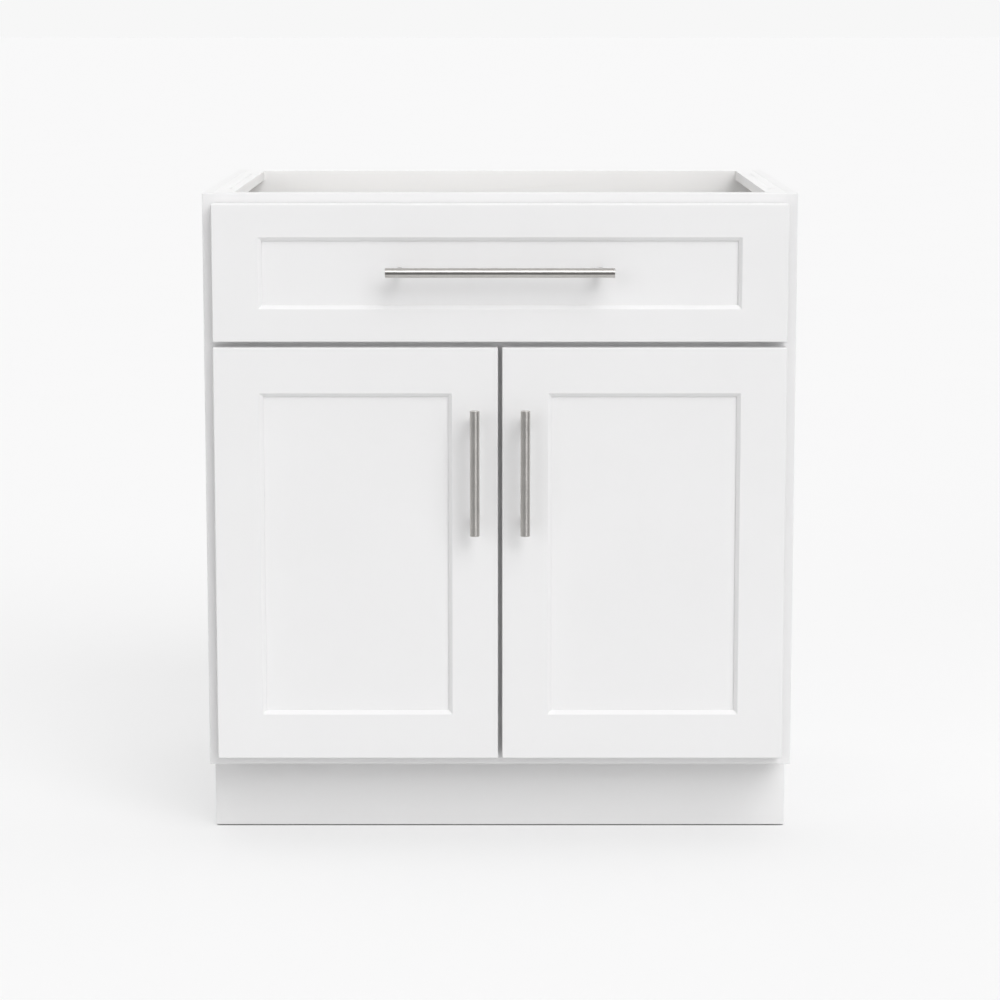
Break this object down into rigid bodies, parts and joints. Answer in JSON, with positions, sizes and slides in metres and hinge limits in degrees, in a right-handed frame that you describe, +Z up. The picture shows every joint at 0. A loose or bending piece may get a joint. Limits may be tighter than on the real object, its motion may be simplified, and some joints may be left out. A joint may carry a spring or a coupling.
{
  "type": "bathroom vanity cabinet",
  "caption": "White face-frame vanity base cabinet: open top, one wide pull-out drawer above a cupboard with paired hinged doors, bar pulls and a recessed toe kick.",
  "frame": {"origin": "on the floor, at the middle of the footprint of the whole object, pulls included", "axes": "+Z up, -Y out of the front where the doors and the drawer open, +X to the right as seen by someone facing the front"},
  "size_m": [0.762, 0.59, 0.8509],
  "materials": {
    "white_lacquer": "smooth white satin lacquer sprayed on wood",
    "white_interior": "white melamine-like coating on plywood panels, slightly duller than the face",
    "coated_plywood": "white coated birch plywood whose top edges show the pale layers",
    "brushed_nickel": "satin nickel with fine brushing round and along the bar",
    "zinc_steel": "bright zinc plated pressed steel",
    "screw_steel": "nickel plated screws",
    "bumper_rubber": "soft translucent grey bumper dots"
  },
  "bodies": {
    "cabinet": {"back_panel": "white_interior", "back_top_rail": "white_interior", "bottom_panel": "white_interior", "cabinet_screws": "screw_steel", "face_frame_bottom_rail": "white_lacquer", "face_frame_centre_stile": "white_lacquer", "face_frame_left_stile": "white_lacquer", "face_frame_mid_rail": "white_lacquer", "face_frame_right_stile": "white_lacquer", "face_frame_top_rail": "white_lacquer", "left_hinge_arms": "zinc_steel", "left_side_panel": "white_lacquer", "left_slide_cabinet_member": "zinc_steel", "left_slide_spacer": "white_interior", "left_top_cleat": "white_interior", "right_hinge_arms": "zinc_steel", "right_side_panel": "white_lacquer", "right_slide_cabinet_member": "zinc_steel", "right_slide_spacer": "white_interior", "right_top_cleat": "white_interior", "toe_kick_board": "white_interior", "toe_kick_skin": "white_lacquer"},
    "drawer": {"drawer_box_back": "coated_plywood", "drawer_box_bottom": "coated_plywood", "drawer_box_front": "coated_plywood", "drawer_box_left_side": "coated_plywood", "drawer_box_right_side": "coated_plywood", "drawer_bumpers": "bumper_rubber", "drawer_front_bottom_rail": "white_lacquer", "drawer_front_left_stile": "white_lacquer", "drawer_front_panel": "white_lacquer", "drawer_front_right_stile": "white_lacquer", "drawer_front_top_rail": "white_lacquer", "drawer_pull": "brushed_nickel", "drawer_screws": "screw_steel", "left_slide_drawer_member": "zinc_steel", "right_slide_drawer_member": "zinc_steel"},
    "left_door": {"left_door_bottom_rail": "white_lacquer", "left_door_bumpers": "bumper_rubber", "left_door_hinge_cups": "zinc_steel", "left_door_hinge_pins": "zinc_steel", "left_door_hinge_stile": "white_lacquer", "left_door_lock_stile": "white_lacquer", "left_door_panel": "white_lacquer", "left_door_pull": "brushed_nickel", "left_door_screws": "screw_steel", "left_door_top_rail": "white_lacquer"},
    "left_slide_middle": {"left_slide_middle_member": "zinc_steel"},
    "right_door": {"right_door_bottom_rail": "white_lacquer", "right_door_bumpers": "bumper_rubber", "right_door_hinge_cups": "zinc_steel", "right_door_hinge_pins": "zinc_steel", "right_door_hinge_stile": "white_lacquer", "right_door_lock_stile": "white_lacquer", "right_door_panel": "white_lacquer", "right_door_pull": "brushed_nickel", "right_door_screws": "screw_steel", "right_door_top_rail": "white_lacquer"},
    "right_slide_middle": {"right_slide_middle_member": "zinc_steel"}
  },
  "joints": [
    {"name": "drawer_slide", "type": "slide", "parent": "cabinet", "child": "drawer", "axis": [0, -1, 0], "range_m": [0, 0.43]},
    {"name": "left_slide_middle_run", "type": "slide", "parent": "cabinet", "child": "left_slide_middle", "axis": [0, -1, 0], "range_m": [0, 0.215]},
    {"name": "right_slide_middle_run", "type": "slide", "parent": "cabinet", "child": "right_slide_middle", "axis": [0, -1, 0], "range_m": [0, 0.215]},
    {"name": "left_door_hinge", "type": "hinge", "parent": "cabinet", "child": "left_door", "pos_m": [-0.3618, -0.25075, 0.38445], "axis": [0, 0, -1], "range_deg": [0, 105]},
    {"name": "right_door_hinge", "type": "hinge", "parent": "cabinet", "child": "right_door", "pos_m": [0.3618, -0.25075, 0.38445], "axis": [0, 0, 1], "range_deg": [0, 105]}
  ],
  "couplings": [
    {"joint": "left_slide_middle_run", "follows": "drawer_slide", "ratio": 0.5},
    {"joint": "right_slide_middle_run", "follows": "drawer_slide", "ratio": 0.5}
  ]
}
